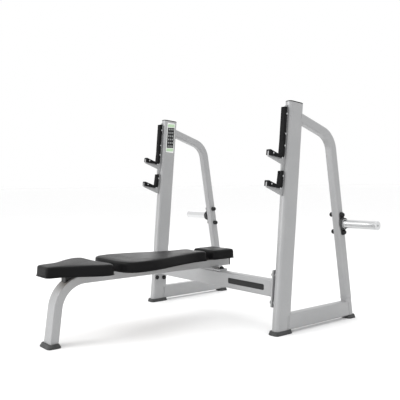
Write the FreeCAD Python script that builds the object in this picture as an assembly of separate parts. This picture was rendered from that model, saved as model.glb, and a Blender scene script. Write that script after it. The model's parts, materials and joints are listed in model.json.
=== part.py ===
import FreeCAD, Part
import math
import os
from FreeCAD import Vector

# Olympic bench press: a padded bench joined to two bar stands with storage pegs.
# Frame: millimetres, +Z up, +X across the bar, +Y from the foot end of the bench to
# its head end. The origin is on the floor, under the middle of the overall box.

# ---- driving dimensions ----
STAND_X = 565.0          # centre plane of each stand
WALL = 3.0               # wall of every frame tube
SOLE = 6.0               # rubber under the end of each tube
FOOT_H = 20.0            # height of every rubber foot
FOOT_LIP = 5.0           # upright edge round the bottom of each foot

LEAN = 0.0953            # backward lean of the uprights, dY per dZ
UPRIGHT_FRONT = 179.0    # front face of the uprights at the floor
UPRIGHT_W = 50.0
UPRIGHT_D = 105.5
UPRIGHT_R = 21.0
UPRIGHT_TOP = 1208.0     # top of the upright at its centre line

BASE_W = 50.0
BASE_H = 84.0
BASE_R = 10.0
BASE_Z = 58.0            # centre height of the base tubes

REAR_SIZE = 50.0         # square rear tube
REAR_R = 12.0
REAR_BEND = 125.0        # centre-line radius of its bend
REAR_LEAN = -0.157       # dY per dZ of its lower run
REAR_Y0 = 799.0          # its centre line carried down to the floor
REAR_FALL = 0.344        # drop per unit of Y on its upper run
REAR_TOP = (401.9, 1125.0)   # point (Y, Z) on the centre line of the upper run
POST_TOP = 120.0         # where the rear tube is welded to its short post
POST_D = 53.0            # depth of the short post
POST_R = 16.0
POST_SET = 1.0           # post centre ahead of the rear tube's centre line
BELOW = -60.0            # tube ends are drawn down to here, then cut off above the floor

BEAM_W = 50.0
BEAM_H = 90.0
BEAM_R = 8.0
BEAM_Y = 239.0
BEAM_Z = 233.0
END_PLATE_T = 8.0
END_PLATE_W = 88.0
END_PLATE_H = 196.0
END_PLATE_SET = 41.0     # plate centre behind the upright's front face
BOLT_ACROSS = 28.0       # half spacing of the end-plate bolts, front to back
BOLT_UP = 72.0           # half spacing of the end-plate bolts, up and down

SPINE_W = 78.0
SPINE_D = 45.0
SPINE_R = 5.0
SPINE_Z = 318.5          # centre height of the spine
SPINE_END = 345.0        # head end of the spine
SPINE_CAP_T = 7.0
LEG_LEAN = 0.139
LEG_Y0 = -788.0          # leg centre line carried down to the floor
LEG_BEND = 150.0

SADDLE_L = 220.0         # plate on top of the beam, under the spine
SADDLE_W = 60.0
SADDLE_T = 10.0
SADDLE_BOLT_X = 92.0
RISER_L = 70.0           # block between that plate and the spine, along X
RISER_W = 50.0

SUPPORT_T = 5.0
SUPPORT_W = 50.0         # width of each pad support, along the bench
SUPPORTS = [(-570.0, 110.0), (-410.0, 130.0), (-150.0, 100.0), (60.0, 72.0), (254.0, 72.0)]   # Y, half length
BRACKET_Y = (-716.0, -636.0)
BRACKET_HALF = 22.0
FLANGE_HALF = 62.0
PAD_SCREW_IN = 16.0      # pad screws in from the ends of their support
PAD_SCREW_R = 4.0

PAD_Z = 346.0            # underside of the pads
PAD_T = 54.0
PAD_ROLL = 14.0
BOARD_T = 12.0
BOARD_INSET = 14.0

HOOK_T = 8.0             # hook plate thickness
HOOK_EDGE = 20.0         # hook plate standing out of the upright
HOOK_TOP = 1194.0
ARM_REACH = 121.0        # arm tips ahead of the upright's front face
ARM_TOP = 25.5           # arm tips above the cradle corner
CRADLE_Z = 929.0         # inner corner of the upper cradle
CRADLE_STEP = 157.0      # upper cradle above the lower one
LINER_W = 30.0
LINER_BACK = 12.0        # back edge of the guard and liners ahead of the upright
LINER_FRONT = 31.0       # their front edge
LINER_COVER = 5.5        # liner floor above the arm it covers
LINER_TALL = 79.0        # liner back above the cradle corner
GUARD_Z = (1008.0, 1183.0)
SLOT_UP = 59.0           # adjustment slot in the lower liner above its corner
SLOT_TALL = 40.0
SCREW_OUT = 16.0         # screws of the guard and liner backs ahead of the upright
SCREW_R = 2.5
PAN_R = 4.5
PAN_H = 2.4

PEG_Z = 553.0
PEG_R = 24.0
PEG_END = 827.0          # |X| of the tip of each peg
PEG_PLATE_T = 8.0
PEG_PLATE_W = 32.0
PEG_BOLT_UP = 50.0
PEG_CAP_T = 3.0
COLLAR_R = 26.0          # thicker root of the peg, inside its bumper
BUMPER_R = 33.0
BUMPER_T = 14.0
DISH_DEPTH = 6.0
TIP_SCREW_R = 5.0
TIP_SCREW_H = 3.0

BOLT_R = 6.0
HOLE_R = 6.5
HEAD_AF = 18.0
HEAD_H = 7.5
NUT_H = 9.0
CAP_R = 14.0
CAP_H = 15.0
CAP_RIM = 4.0
NUT_CAP_H = 28.0         # the taller caps over the nuts of the peg bolts
BOLT_OVER = 8.0          # end of a peg bolt past its nut

SEAT_END = -835.0        # foot end of the seat pad
SEAT_HEAD = -521.0
BACK_FOOT = -470.0
BACK_HEAD = 134.0
HEAD_FOOT = 171.0
HEAD_END = 338.0

INFO_Z = 1097.0          # centre of the instruction plate
INFO_L = 200.0
INFO_W = 62.0
INFO_T = 1.5

INNER_X = STAND_X - UPRIGHT_W / 2
OUTER_X = STAND_X + UPRIGHT_W / 2
PEG_ROOT = OUTER_X + PEG_PLATE_T
LEAN_ANGLE = math.degrees(math.atan(LEAN))
UPRIGHT_DY = UPRIGHT_D / math.cos(math.radians(LEAN_ANGLE))
SPINE_TOP = SPINE_Z + SPINE_D / 2
SPINE_BOTTOM = SPINE_Z - SPINE_D / 2

X_AXIS = Vector(1, 0, 0)
Y_AXIS = Vector(0, 1, 0)
Z_AXIS = Vector(0, 0, 1)
ORIGIN = Vector(0, 0, 0)


# ---- small helpers ----
def rounded_wire(width, depth, radius, inset=0.0):
    """Rounded rectangle about the Z axis, width along X and depth along Y."""
    w = width / 2 - inset
    d = depth / 2 - inset
    r = max(radius - inset, 0.5)
    half = r * math.sqrt(0.5)
    edges = []
    corners = [(w - r, d - r, 1, 1), (r - w, d - r, -1, 1), (r - w, r - d, -1, -1), (w - r, r - d, 1, -1)]
    arcs = []
    for cx, cy, sx, sy in corners:
        side = Vector(cx + sx * r, cy, 0)
        middle = Vector(cx + sx * half, cy + sy * half, 0)
        end = Vector(cx, cy + sy * r, 0)
        arcs.append((side, middle, end) if sx * sy > 0 else (end, middle, side))
    for i, (start, middle, end) in enumerate(arcs):
        edges.append(Part.Arc(start, middle, end).toShape())
        following = arcs[(i + 1) % 4][0]
        if (following - end).Length > 1e-6:
            edges.append(Part.LineSegment(end, following).toShape())
    return Part.Wire(edges)


def rounded_face(width, depth, radius, inset=0.0):
    return Part.Face(rounded_wire(width, depth, radius, inset))


def box(low, high):
    return Part.makeBox(high[0] - low[0], high[1] - low[1], high[2] - low[2], Vector(*low))


def rod(radius, start, end):
    run = end - start
    return Part.makeCylinder(radius, run.Length, start, run)


def hexagon(across_flats, height):
    """Hexagonal prism from the origin up the Z axis."""
    radius = across_flats / math.sqrt(3)
    points = [Vector(radius * math.cos(math.radians(a)), radius * math.sin(math.radians(a)), 0)
              for a in range(0, 361, 60)]
    return Part.Face(Part.makePolygon(points)).extrude(Vector(0, 0, height))


def aimed(shape, place, direction):
    """The shape, made along +Z at the origin, moved to a place and turned to a direction."""
    moved = shape.copy()
    moved.Placement = FreeCAD.Placement(place, FreeCAD.Rotation(Z_AXIS, direction)).multiply(moved.Placement)
    return moved


def mirrored(shape):
    return shape.mirror(ORIGIN, X_AXIS)


def both_sides(shapes):
    return shapes + [mirrored(shape) for shape in shapes]


def cut(shape, tools):
    for tool in tools:
        shape = shape.cut(tool)
    return shape


def union(shapes):
    return shapes[0].multiFuse(shapes[1:]).removeSplitter()


def side_profile(points, x_low, x_high):
    """Prism along X from an outline of (Y, Z) points."""
    wire = Part.makePolygon([Vector(x_low, y, z) for y, z in points + points[:1]])
    return Part.Face(wire).extrude(Vector(x_high - x_low, 0, 0))


def fillet_along_x(shape, radius, near):
    """Round the edges that run along X and pass the given (Y, Z) points."""
    edges = []
    for edge in shape.Edges:
        middle = edge.CenterOfMass
        level = abs(edge.tangentAt(edge.FirstParameter).x) > 0.99
        if level and any(math.hypot(middle.y - y, middle.z - z) < 0.6 for y, z in near):
            edges.append(edge)
    return shape.makeFillet(radius, edges)


def straight_bar(face, start, end):
    """A section, drawn about Z with X kept level, drawn out from start to end in the YZ plane."""
    run = end - start
    turned = face.copy()
    angle = math.degrees(math.atan2(-run.y, run.z))
    turned.rotate(ORIGIN, X_AXIS, angle)
    turned.translate(start)
    return turned.extrude(run)


def bent_bar(face, start, corner, end, radius):
    """A section drawn along start, corner and end in the YZ plane, with one round bend."""
    first = (corner - start).normalize()
    second = (end - corner).normalize()
    turn = first.getAngle(second)
    tangent = radius * math.tan(turn / 2)
    arc_start = corner - first * tangent
    arc_end = corner + second * tangent
    side = 1 if first.cross(second).x > 0 else -1
    centre = arc_start + X_AXIS.cross(first) * (radius * side)
    section = face.copy()
    section.rotate(ORIGIN, X_AXIS, math.degrees(math.atan2(-first.y, first.z)))
    section.translate(arc_start)
    elbow = section.revolve(centre, X_AXIS, side * math.degrees(turn))
    runs = [straight_bar(face, start, arc_start), elbow, straight_bar(face, arc_end, end)]
    return union(runs)


def upright_front(z):
    return UPRIGHT_FRONT + LEAN * z


def upright_centre(z):
    return upright_front(z) + UPRIGHT_DY / 2


def rear_centre(z):
    return REAR_Y0 + REAR_LEAN * z


def on_upright(forward, z):
    """(Y, Z) of a point that stands forward of the upright's front face."""
    return (upright_front(z) - forward, z)


LEAN_DIR = Vector(0, LEAN, 1).normalize()
LEAN_ACROSS = Vector(0, 1, -LEAN).normalize()
REAR_DIR = Vector(0, REAR_LEAN, 1).normalize()
FLOOR_CUT = box((-900, -1000, 2 * BELOW), (900, 1000, SOLE))


# ---- stands: the +X one is drawn, and the other is its mirror ----
def upright_bar(inset=0.0):
    low = Vector(STAND_X, upright_centre(BELOW), BELOW)
    high = Vector(STAND_X, upright_centre(UPRIGHT_TOP), UPRIGHT_TOP)
    return straight_bar(rounded_face(UPRIGHT_W, UPRIGHT_D, UPRIGHT_R, inset), low, high)


def end_plate_bolts():
    """Axis points of the four bolts that hold the beam's end plate."""
    middle = Vector(0, upright_front(BEAM_Z) + END_PLATE_SET, BEAM_Z)
    return [middle + LEAN_ACROSS * (i * BOLT_ACROSS) + LEAN_DIR * (j * BOLT_UP)
            for i in (-1, 1) for j in (-1, 1)]


def upright():
    tube = cut(upright_bar(), [upright_bar(WALL), FLOOR_CUT])
    holes = [rod(HOLE_R, p + X_AXIS * (INNER_X - 2), p + X_AXIS * (INNER_X + WALL + 2))
             for p in end_plate_bolts()]
    return cut(tube, holes)


def upright_cap():
    top = Vector(STAND_X, upright_centre(UPRIGHT_TOP), UPRIGHT_TOP)
    flange = straight_bar(rounded_face(UPRIGHT_W, UPRIGHT_D, UPRIGHT_R), top, top + LEAN_DIR * 4)
    crown = straight_bar(rounded_face(UPRIGHT_W, UPRIGHT_D, UPRIGHT_R, 4), top + LEAN_DIR * 4, top + LEAN_DIR * 6)
    plug = straight_bar(rounded_face(UPRIGHT_W, UPRIGHT_D, UPRIGHT_R, WALL + 0.2), top - LEAN_DIR * 16, top)
    return union([flange, crown, plug])


def rear_bar(inset=0.0):
    corner_z = (REAR_TOP[1] - REAR_FALL * (REAR_Y0 - REAR_TOP[0])) / (1 + REAR_FALL * REAR_LEAN)
    corner = Vector(STAND_X, rear_centre(corner_z), corner_z)
    start = Vector(STAND_X, upright_centre(REAR_TOP[1]), 0)
    start.z = REAR_TOP[1] + REAR_FALL * (REAR_TOP[0] - start.y)
    end = Vector(STAND_X, rear_centre(BELOW), BELOW)
    face = rounded_face(REAR_SIZE, REAR_SIZE, REAR_R, inset)
    return bent_bar(face, start, corner, end, REAR_BEND)


def peg_bolts():
    middle = Vector(0, rear_centre(PEG_Z), PEG_Z)
    return [middle + REAR_DIR * (i * PEG_BOLT_UP) for i in (-1, 1)]


def rear_tube():
    below = box((0, 500, 2 * BELOW), (900, 1000, POST_TOP))
    tube = cut(rear_bar(), [rear_bar(WALL), upright_bar(), below])
    holes = [rod(HOLE_R, p + X_AXIS * (INNER_X - 5), p + X_AXIS * (OUTER_X + 5)) for p in peg_bolts()]
    return cut(tube, holes)


def post_bar(inset=0.0):
    """Drawn past its top, then cut off level."""
    low = Vector(STAND_X, rear_centre(BELOW) - POST_SET, BELOW)
    high = Vector(STAND_X, rear_centre(POST_TOP) - POST_SET, POST_TOP) + REAR_DIR * POST_D
    above = box((0, 500, POST_TOP), (900, 1000, 2 * POST_TOP))
    return straight_bar(rounded_face(REAR_SIZE, POST_D, POST_R, inset), low, high).cut(above)


def rear_post():
    return cut(post_bar(), [post_bar(WALL), FLOOR_CUT])


def base_bar(inset=0.0):
    face = rounded_face(BASE_W, BASE_H, BASE_R, inset)
    return straight_bar(face, Vector(STAND_X, upright_centre(BASE_Z), BASE_Z),
                        Vector(STAND_X, rear_centre(BASE_Z), BASE_Z))


def base_tube():
    return cut(base_bar(), [base_bar(WALL), upright_bar(), post_bar()])


def rubber_foot(centre, width, depth, flare, tube_bar):
    """Flared rubber shoe, sized at its base, with a socket for its tube and a notch for a base tube."""
    base = rounded_wire(width, depth, 18)
    lip = rounded_wire(width, depth, 18)
    top = rounded_wire(width - flare, depth - flare, 16)
    lip.translate(Vector(0, 0, FOOT_LIP))
    top.translate(Vector(0, 0, FOOT_H))
    shoe = union([Part.makeLoft([base, lip], True), Part.makeLoft([lip, top], True)])
    shoe.translate(centre)
    return cut(shoe, [tube_bar.cut(FLOOR_CUT), base_bar()])


def cradle_corners():
    """Heights of the inner corners of the two cradles."""
    return (CRADLE_Z, CRADLE_Z - CRADLE_STEP)


def hook_plate():
    """Flat plate on edge down the front of the upright, with two raised arms."""
    outline = [on_upright(0, HOOK_TOP), on_upright(HOOK_EDGE - 9, HOOK_TOP), on_upright(HOOK_EDGE, HOOK_TOP - 12)]
    for seat_z in cradle_corners():
        outline += [on_upright(HOOK_EDGE, seat_z - 10), on_upright(ARM_REACH - 6, seat_z + ARM_TOP),
                    on_upright(ARM_REACH - 1, seat_z + ARM_TOP - 3), on_upright(ARM_REACH, seat_z - 4)]
        if seat_z == CRADLE_Z:
            outline.append(on_upright(HOOK_EDGE, seat_z - 43))
    outline.append(on_upright(0, CRADLE_Z - CRADLE_STEP - 52))
    plate = side_profile(outline, STAND_X - HOOK_T / 2, STAND_X + HOOK_T / 2)
    return cut(plate, screw_holes())


def screw_points():
    """Screws that hold the guard and the two liners to the hook plate."""
    points = [on_upright(SCREW_OUT, GUARD_Z[1] - 37), on_upright(SCREW_OUT, GUARD_Z[0] + 35)]
    for seat_z in cradle_corners():
        points += [on_upright(SCREW_OUT, seat_z + 52), on_upright(LINER_FRONT, seat_z - 12),
                   on_upright(ARM_REACH - 24, seat_z + 13)]
    return points


def screw_holes():
    return [rod(SCREW_R + 0.1, Vector(INNER_X, y, z), Vector(OUTER_X, y, z)) for y, z in screw_points()]


def guard():
    """Long plastic channel clipped over the front edge of the hook plate."""
    low, high = GUARD_Z
    back = [on_upright(LINER_BACK, low), on_upright(LINER_BACK, high)]
    front = [on_upright(LINER_FRONT, high), on_upright(LINER_FRONT, low)]
    block = side_profile(back + front, STAND_X - LINER_W / 2, STAND_X + LINER_W / 2)
    front_edges = [edge for edge in block.Edges
                   if abs(edge.tangentAt(edge.FirstParameter).x) < 0.01
                   and abs(edge.CenterOfMass.y - upright_front(edge.CenterOfMass.z) + LINER_FRONT) < 0.5]
    block = block.makeFillet(3.0, front_edges)
    return cut(block, [hook_plate()] + screw_holes())


def liner(seat_z, slotted):
    """Plastic channel over the back and the arm of one cradle."""
    corner = on_upright(LINER_FRONT + 1, seat_z)
    heel = on_upright(LINER_BACK + 1, seat_z - 14)
    tip = on_upright(ARM_REACH - 4, seat_z + ARM_TOP + LINER_COVER)
    front = LINER_FRONT - 5 if slotted else LINER_FRONT - 2
    points = [on_upright(LINER_BACK, seat_z + LINER_TALL), on_upright(front, seat_z + LINER_TALL), corner, tip,
              on_upright(ARM_REACH - 2, seat_z + ARM_TOP + 2), on_upright(ARM_REACH - 2, seat_z + 2), heel]
    block = side_profile(points, STAND_X - LINER_W / 2, STAND_X + LINER_W / 2)
    block = fillet_along_x(block, 8.0, [corner])
    block = fillet_along_x(block, 18.0, [heel])
    tools = [hook_plate()] + screw_holes()
    if slotted:
        y, z = on_upright(0, seat_z + SLOT_UP)
        low = (STAND_X - HOOK_T / 2, y - 60, z)
        tools.append(box(low, (STAND_X + HOOK_T / 2, y, z + SLOT_TALL)))
    return cut(block, tools)


def liner_screws():
    """Pan-head screws across the channels, with a round nut on the far side."""
    half = LINER_W / 2
    screws = []
    for y, z in screw_points():
        middle = Vector(STAND_X, y, z)
        shank = rod(SCREW_R, middle - X_AXIS * half, middle + X_AXIS * half)
        heads = [rod(PAN_R, middle + X_AXIS * (side * half), middle + X_AXIS * (side * (half + PAN_H)))
                 for side in (-1, 1)]
        screws.append(union([shank] + heads))
    return Part.makeCompound(both_sides(screws))


# ---- storage pegs ----
def peg_plate():
    middle = Vector(OUTER_X, rear_centre(PEG_Z), PEG_Z)
    face = rounded_face(2 * PEG_BOLT_UP + PEG_PLATE_W, PEG_PLATE_W, PEG_PLATE_W / 2 - 0.1)
    plate = face.extrude(Vector(0, 0, PEG_PLATE_T))
    plate.rotate(ORIGIN, Y_AXIS, 90)
    plate.rotate(ORIGIN, X_AXIS, math.degrees(math.atan(-REAR_LEAN)))
    plate.translate(middle)
    holes = [rod(HOLE_R, p + X_AXIS * (OUTER_X - 1), p + X_AXIS * (PEG_ROOT + 1)) for p in peg_bolts()]
    return cut(plate, holes)


def peg_axis(x):
    return Vector(x, rear_centre(PEG_Z), PEG_Z)


def peg():
    """Open tube with a thicker collar at its root."""
    tube = rod(PEG_R, peg_axis(PEG_ROOT), peg_axis(PEG_END - PEG_CAP_T))
    collar = rod(COLLAR_R, peg_axis(PEG_ROOT), peg_axis(PEG_ROOT + BUMPER_T))
    return union([tube, collar]).cut(rod(PEG_R - WALL, peg_axis(PEG_ROOT), peg_axis(PEG_END - PEG_CAP_T)))


def peg_cap():
    disc = rod(PEG_R, peg_axis(PEG_END - PEG_CAP_T), peg_axis(PEG_END))
    rim = [edge for edge in disc.Edges
           if abs(edge.CenterOfMass.x - PEG_END) < 0.1 and len(edge.Vertexes) == 1]
    disc = disc.makeFillet(2.0, rim)
    plug = rod(PEG_R - WALL - 0.2, peg_axis(PEG_END - 18), peg_axis(PEG_END - PEG_CAP_T))
    return union([disc, plug]).cut(rod(SCREW_R + 0.1, peg_axis(PEG_END - 20), peg_axis(PEG_END + 1)))


def peg_tip_screw():
    """Screw down the middle of the end cap, its head standing out of the tip."""
    shank = rod(SCREW_R, peg_axis(PEG_END - 18), peg_axis(PEG_END))
    head = rod(TIP_SCREW_R, peg_axis(PEG_END), peg_axis(PEG_END + TIP_SCREW_H))
    return union([shank, head])


def bumper():
    """Dished rubber ring round the root of the peg."""
    ring = rod(BUMPER_R, peg_axis(PEG_ROOT), peg_axis(PEG_ROOT + BUMPER_T))
    rims = [edge for edge in ring.Edges if len(edge.Vertexes) == 1
            and abs(edge.CenterOfMass.x - PEG_ROOT - BUMPER_T) < 0.1]
    ring = ring.makeFillet(3.0, rims)
    dish_foot = peg_axis(PEG_ROOT + BUMPER_T - DISH_DEPTH)
    dish = Part.makeCone(COLLAR_R + 1, BUMPER_R - 3.5, DISH_DEPTH, dish_foot, X_AXIS)
    bore = rod(COLLAR_R + 0.2, peg_axis(PEG_ROOT - 1), peg_axis(PEG_ROOT + BUMPER_T + 1))
    return cut(ring, [dish, bore])


# ---- fasteners, drawn up the Z axis from the face they bear on ----
def bolt(length):
    head = hexagon(HEAD_AF, HEAD_H)
    shank = Part.makeCylinder(BOLT_R, length, Vector(0, 0, -length), Z_AXIS)
    return union([head, shank])


def nut():
    return hexagon(HEAD_AF, NUT_H).cut(Part.makeCylinder(BOLT_R, NUT_H))


def dome_cap(height, pocket_depth):
    """Plastic dust cap: a straight rim, a domed crown and a pocket for what it covers."""
    crown_height = CAP_H - CAP_RIM
    rim = Part.makeCylinder(CAP_R, height - crown_height)
    crown_radius = (CAP_R ** 2 + crown_height ** 2) / (2 * crown_height)
    ball = Part.makeSphere(crown_radius, Vector(0, 0, height - crown_radius))
    crown = ball.common(Part.makeCylinder(CAP_R, height, Vector(0, 0, height - crown_height)))
    pocket = Part.makeCylinder(HEAD_AF / math.sqrt(3) + 0.3, pocket_depth + 0.5)
    return union([rim, crown]).cut(pocket)


def place_all(shape, places):
    return [aimed(shape, point, direction) for point, direction in places]


def beam_bolt_places():
    return [(p + X_AXIS * (INNER_X - END_PLATE_T), -X_AXIS) for p in end_plate_bolts()]


def saddle_bolt_places():
    top = BEAM_Z + BEAM_H / 2 + SADDLE_T
    return [(Vector(side * SADDLE_BOLT_X, BEAM_Y, top), Z_AXIS) for side in (-1, 1)]


def frame_bolts():
    ends = both_sides(place_all(bolt(24), beam_bolt_places()))
    return Part.makeCompound(ends + place_all(bolt(26), saddle_bolt_places()))


def frame_bolt_caps():
    cap = dome_cap(CAP_H, HEAD_H)
    return Part.makeCompound(both_sides(place_all(cap, beam_bolt_places())) + place_all(cap, saddle_bolt_places()))


def weld_nuts():
    """Nuts welded inside the uprights and under the beam's top wall."""
    in_uprights = both_sides(place_all(nut(), [(p + X_AXIS * (INNER_X + WALL), X_AXIS)
                                               for p in end_plate_bolts()]))
    under = Vector(0, 0, SADDLE_T + WALL)
    in_beam = place_all(nut(), [(place - under, -Z_AXIS) for place, _ in saddle_bolt_places()])
    return Part.makeCompound(in_uprights + in_beam)


def peg_bolt_places():
    return [(p + X_AXIS * PEG_ROOT, X_AXIS) for p in peg_bolts()]


def peg_nut_places():
    return [(p + X_AXIS * INNER_X, -X_AXIS) for p in peg_bolts()]


def peg_through_bolts():
    length = REAR_SIZE + PEG_PLATE_T + NUT_H + BOLT_OVER
    return Part.makeCompound(both_sides(place_all(bolt(length), peg_bolt_places())))


def peg_nuts():
    return Part.makeCompound(both_sides(place_all(nut(), peg_nut_places())))


def peg_bolt_caps():
    over_heads = place_all(dome_cap(CAP_H, HEAD_H), peg_bolt_places())
    over_nuts = place_all(dome_cap(NUT_CAP_H, NUT_H + BOLT_OVER), peg_nut_places())
    return Part.makeCompound(both_sides(over_heads + over_nuts))


# ---- cross beam ----
def cross_beam():
    reach = INNER_X - END_PLATE_T

    def bar(inset):
        face = rounded_face(BEAM_H, BEAM_W, BEAM_R, inset)
        face.rotate(ORIGIN, Y_AXIS, 90)
        face.translate(Vector(-reach, BEAM_Y, BEAM_Z))
        return face.extrude(Vector(2 * reach, 0, 0))

    tube = bar(0.0).cut(bar(WALL))
    holes = [rod(HOLE_R, place - Z_AXIS * 30, place) for place, _ in saddle_bolt_places()]
    return cut(tube, holes)


def end_plate():
    plate = rounded_face(END_PLATE_H, END_PLATE_W, 7).extrude(Vector(0, 0, END_PLATE_T))
    plate.rotate(ORIGIN, Y_AXIS, 90)
    plate.rotate(ORIGIN, X_AXIS, -LEAN_ANGLE)
    plate.translate(Vector(INNER_X - END_PLATE_T, upright_front(BEAM_Z) + END_PLATE_SET, BEAM_Z))
    holes = [rod(HOLE_R, p + X_AXIS * (INNER_X - 20), p + X_AXIS * (INNER_X + 5)) for p in end_plate_bolts()]
    return cut(plate, holes)


# ---- bench ----
def bench_bar(inset=0.0):
    start = Vector(0, LEG_Y0 + BELOW * LEG_LEAN, BELOW)
    corner = Vector(0, LEG_Y0 + SPINE_Z * LEG_LEAN, SPINE_Z)
    end = Vector(0, SPINE_END, SPINE_Z)
    return bent_bar(rounded_face(SPINE_W, SPINE_D, SPINE_R, inset), start, corner, end, LEG_BEND)


def bench_frame():
    return cut(bench_bar(), [bench_bar(WALL), FLOOR_CUT])


def spine_end_cap():
    flange = straight_bar(rounded_face(SPINE_W, SPINE_D, SPINE_R),
                          Vector(0, SPINE_END, SPINE_Z), Vector(0, SPINE_END + SPINE_CAP_T, SPINE_Z))
    plug = straight_bar(rounded_face(SPINE_W, SPINE_D, SPINE_R, WALL + 0.2),
                        Vector(0, SPINE_END - 16, SPINE_Z), Vector(0, SPINE_END, SPINE_Z))
    return union([flange, plug])


def saddle_plate():
    """Plate on the beam with a riser block that is welded to the spine."""
    base = BEAM_Z + BEAM_H / 2
    plate = rounded_face(SADDLE_L, SADDLE_W, 6).extrude(Vector(0, 0, SADDLE_T))
    plate.translate(Vector(0, BEAM_Y, base))
    low = (-RISER_L / 2, BEAM_Y - RISER_W / 2, base + SADDLE_T)
    riser = box(low, (RISER_L / 2, BEAM_Y + RISER_W / 2, SPINE_BOTTOM))
    holes = [rod(HOLE_R, place - Z_AXIS * (SADDLE_T + 1), place + Z_AXIS) for place, _ in saddle_bolt_places()]
    return cut(union([plate, riser]), holes)


def pad_screw_spots():
    plates = SUPPORTS + [((BRACKET_Y[0] + BRACKET_Y[1]) / 2, FLANGE_HALF)]
    return [(side * (half - PAD_SCREW_IN), y) for y, half in plates for side in (-1, 1)]


def pad_screw_holes(radius):
    return [rod(radius, Vector(x, y, PAD_Z - SUPPORT_T - 1), Vector(x, y, PAD_Z + BOARD_T + 1))
            for x, y in pad_screw_spots()]


def pad_supports():
    plates = []
    for y, half in SUPPORTS:
        plate = rounded_face(2 * half, SUPPORT_W, 8).extrude(Vector(0, 0, SUPPORT_T))
        plate.translate(Vector(0, y, SPINE_TOP))
        plates.append(cut(plate, pad_screw_holes(PAD_SCREW_R + 0.5)))
    return Part.makeCompound(plates)


def seat_bracket():
    """Folded bracket that carries the foot end of the seat above the bend."""
    low, high = BRACKET_Y
    web = box((-BRACKET_HALF, low, SPINE_BOTTOM), (BRACKET_HALF, high, PAD_Z - SUPPORT_T))
    flange = box((-FLANGE_HALF, low, PAD_Z - SUPPORT_T), (FLANGE_HALF, high, PAD_Z))
    return cut(union([web, flange]), [bench_bar()] + pad_screw_holes(PAD_SCREW_R + 0.5))


def pad_screws():
    under = PAD_Z - SUPPORT_T
    screws = []
    for x, y in pad_screw_spots():
        head = rod(7.0, Vector(x, y, under - 4), Vector(x, y, under))
        shank = rod(PAD_SCREW_R, Vector(x, y, under), Vector(x, y, PAD_Z + BOARD_T - 1))
        screws.append(union([head, shank]))
    return Part.makeCompound(screws)


def tee_nuts():
    """Barrel nuts pressed into the boards from above, one for each pad screw."""
    nuts = []
    for x, y in pad_screw_spots():
        flange = rod(10.0, Vector(x, y, PAD_Z + BOARD_T), Vector(x, y, PAD_Z + BOARD_T + 1.5))
        barrel = rod(5.5, Vector(x, y, PAD_Z + 2), Vector(x, y, PAD_Z + BOARD_T))
        bore = rod(PAD_SCREW_R, Vector(x, y, PAD_Z), Vector(x, y, PAD_Z + BOARD_T + 2))
        nuts.append(union([flange, barrel]).cut(bore))
    return Part.makeCompound(nuts)


# Right half of each outline, from the middle of the foot end to the middle of the head end.
# Each run is a line's end or the last three poles of a Bezier curve.
SEAT_SIDE = [[(0, SEAT_END)], [(44, SEAT_END)], [(72, SEAT_END), (76, -815), (78, -795)],
             [(84, -730), (130, -695), (180, -605)], [(196, -575), (200, SEAT_HEAD), (150, SEAT_HEAD)],
             [(0, SEAT_HEAD)]]
BACK_SIDE = [[(0, BACK_FOOT)], [(100, BACK_FOOT)], [(170, BACK_FOOT), (207, -439), (207, -364)],
             [(207, -243), (112, -73), (106, 67)], [(106, 99)],
             [(106, 119), (96, BACK_HEAD), (76, BACK_HEAD)], [(0, BACK_HEAD)]]
HEAD_SIDE = [[(0, HEAD_FOOT)], [(78, HEAD_FOOT)], [(94, HEAD_FOOT), (103, 180), (103, 196)], [(103, 313)],
             [(103, 329), (94, HEAD_END), (78, HEAD_END)], [(0, HEAD_END)]]


def outline_edge(poles):
    poles = [Vector(x, y, 0) for x, y in poles]
    if len(poles) == 2:
        return Part.LineSegment(*poles).toShape()
    curve = Part.BezierCurve()
    curve.setPoles(poles)
    return curve.toShape()


def pad_wire(side):
    """Closed outline, anticlockwise from above: the right half, then the same runs back down the left."""
    right = [[before[-1]] + run for before, run in zip(side, side[1:])]
    left = [[(-x, y) for x, y in reversed(poles)] for poles in reversed(right)]
    return Part.Wire([outline_edge(poles) for poles in right + left])


def drawn_in(side, inset):
    """The same outline, with its sides and both ends moved in by the inset."""
    foot = side[0][0][1]
    head = side[-1][0][1]
    middle = (foot + head) / 2
    scale = 1 - 2 * inset / (head - foot)
    return [[(max(x - inset, 0), middle + (y - middle) * scale) for x, y in run] for run in side]


def board(side):
    """Plywood base let into the pad from below."""
    plate = Part.Face(pad_wire(drawn_in(side, BOARD_INSET))).extrude(Vector(0, 0, BOARD_T))
    plate.translate(Vector(0, 0, PAD_Z))
    return plate


def drilled_board(side):
    return cut(board(side), tee_nuts().Solids + pad_screw_holes(PAD_SCREW_R + 0.2))


def pad(side):
    """Foam block in its cover, rolled round the top edge and open underneath for its board."""
    block = Part.Face(pad_wire(side)).extrude(Vector(0, 0, PAD_T))
    block.translate(Vector(0, 0, PAD_Z))
    top = [edge for edge in block.Edges if abs(edge.BoundBox.ZMin - PAD_Z - PAD_T) < 0.01]
    block = block.makeFillet(PAD_ROLL, top)
    return cut(block, [board(side)] + tee_nuts().Solids)


def info_plate():
    """Thin instruction plate on the inner face of the -X upright, near its top."""
    plate = rounded_face(INFO_L, INFO_W, 4).extrude(Vector(0, 0, INFO_T))
    plate.rotate(ORIGIN, Y_AXIS, 90)
    plate.rotate(ORIGIN, X_AXIS, -LEAN_ANGLE)
    plate.translate(Vector(-INNER_X, upright_centre(INFO_Z), INFO_Z))
    return plate


# ---- every node, by name ----
def paired(name, shape):
    return {name + "_right": shape, name + "_left": mirrored(shape)}


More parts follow.
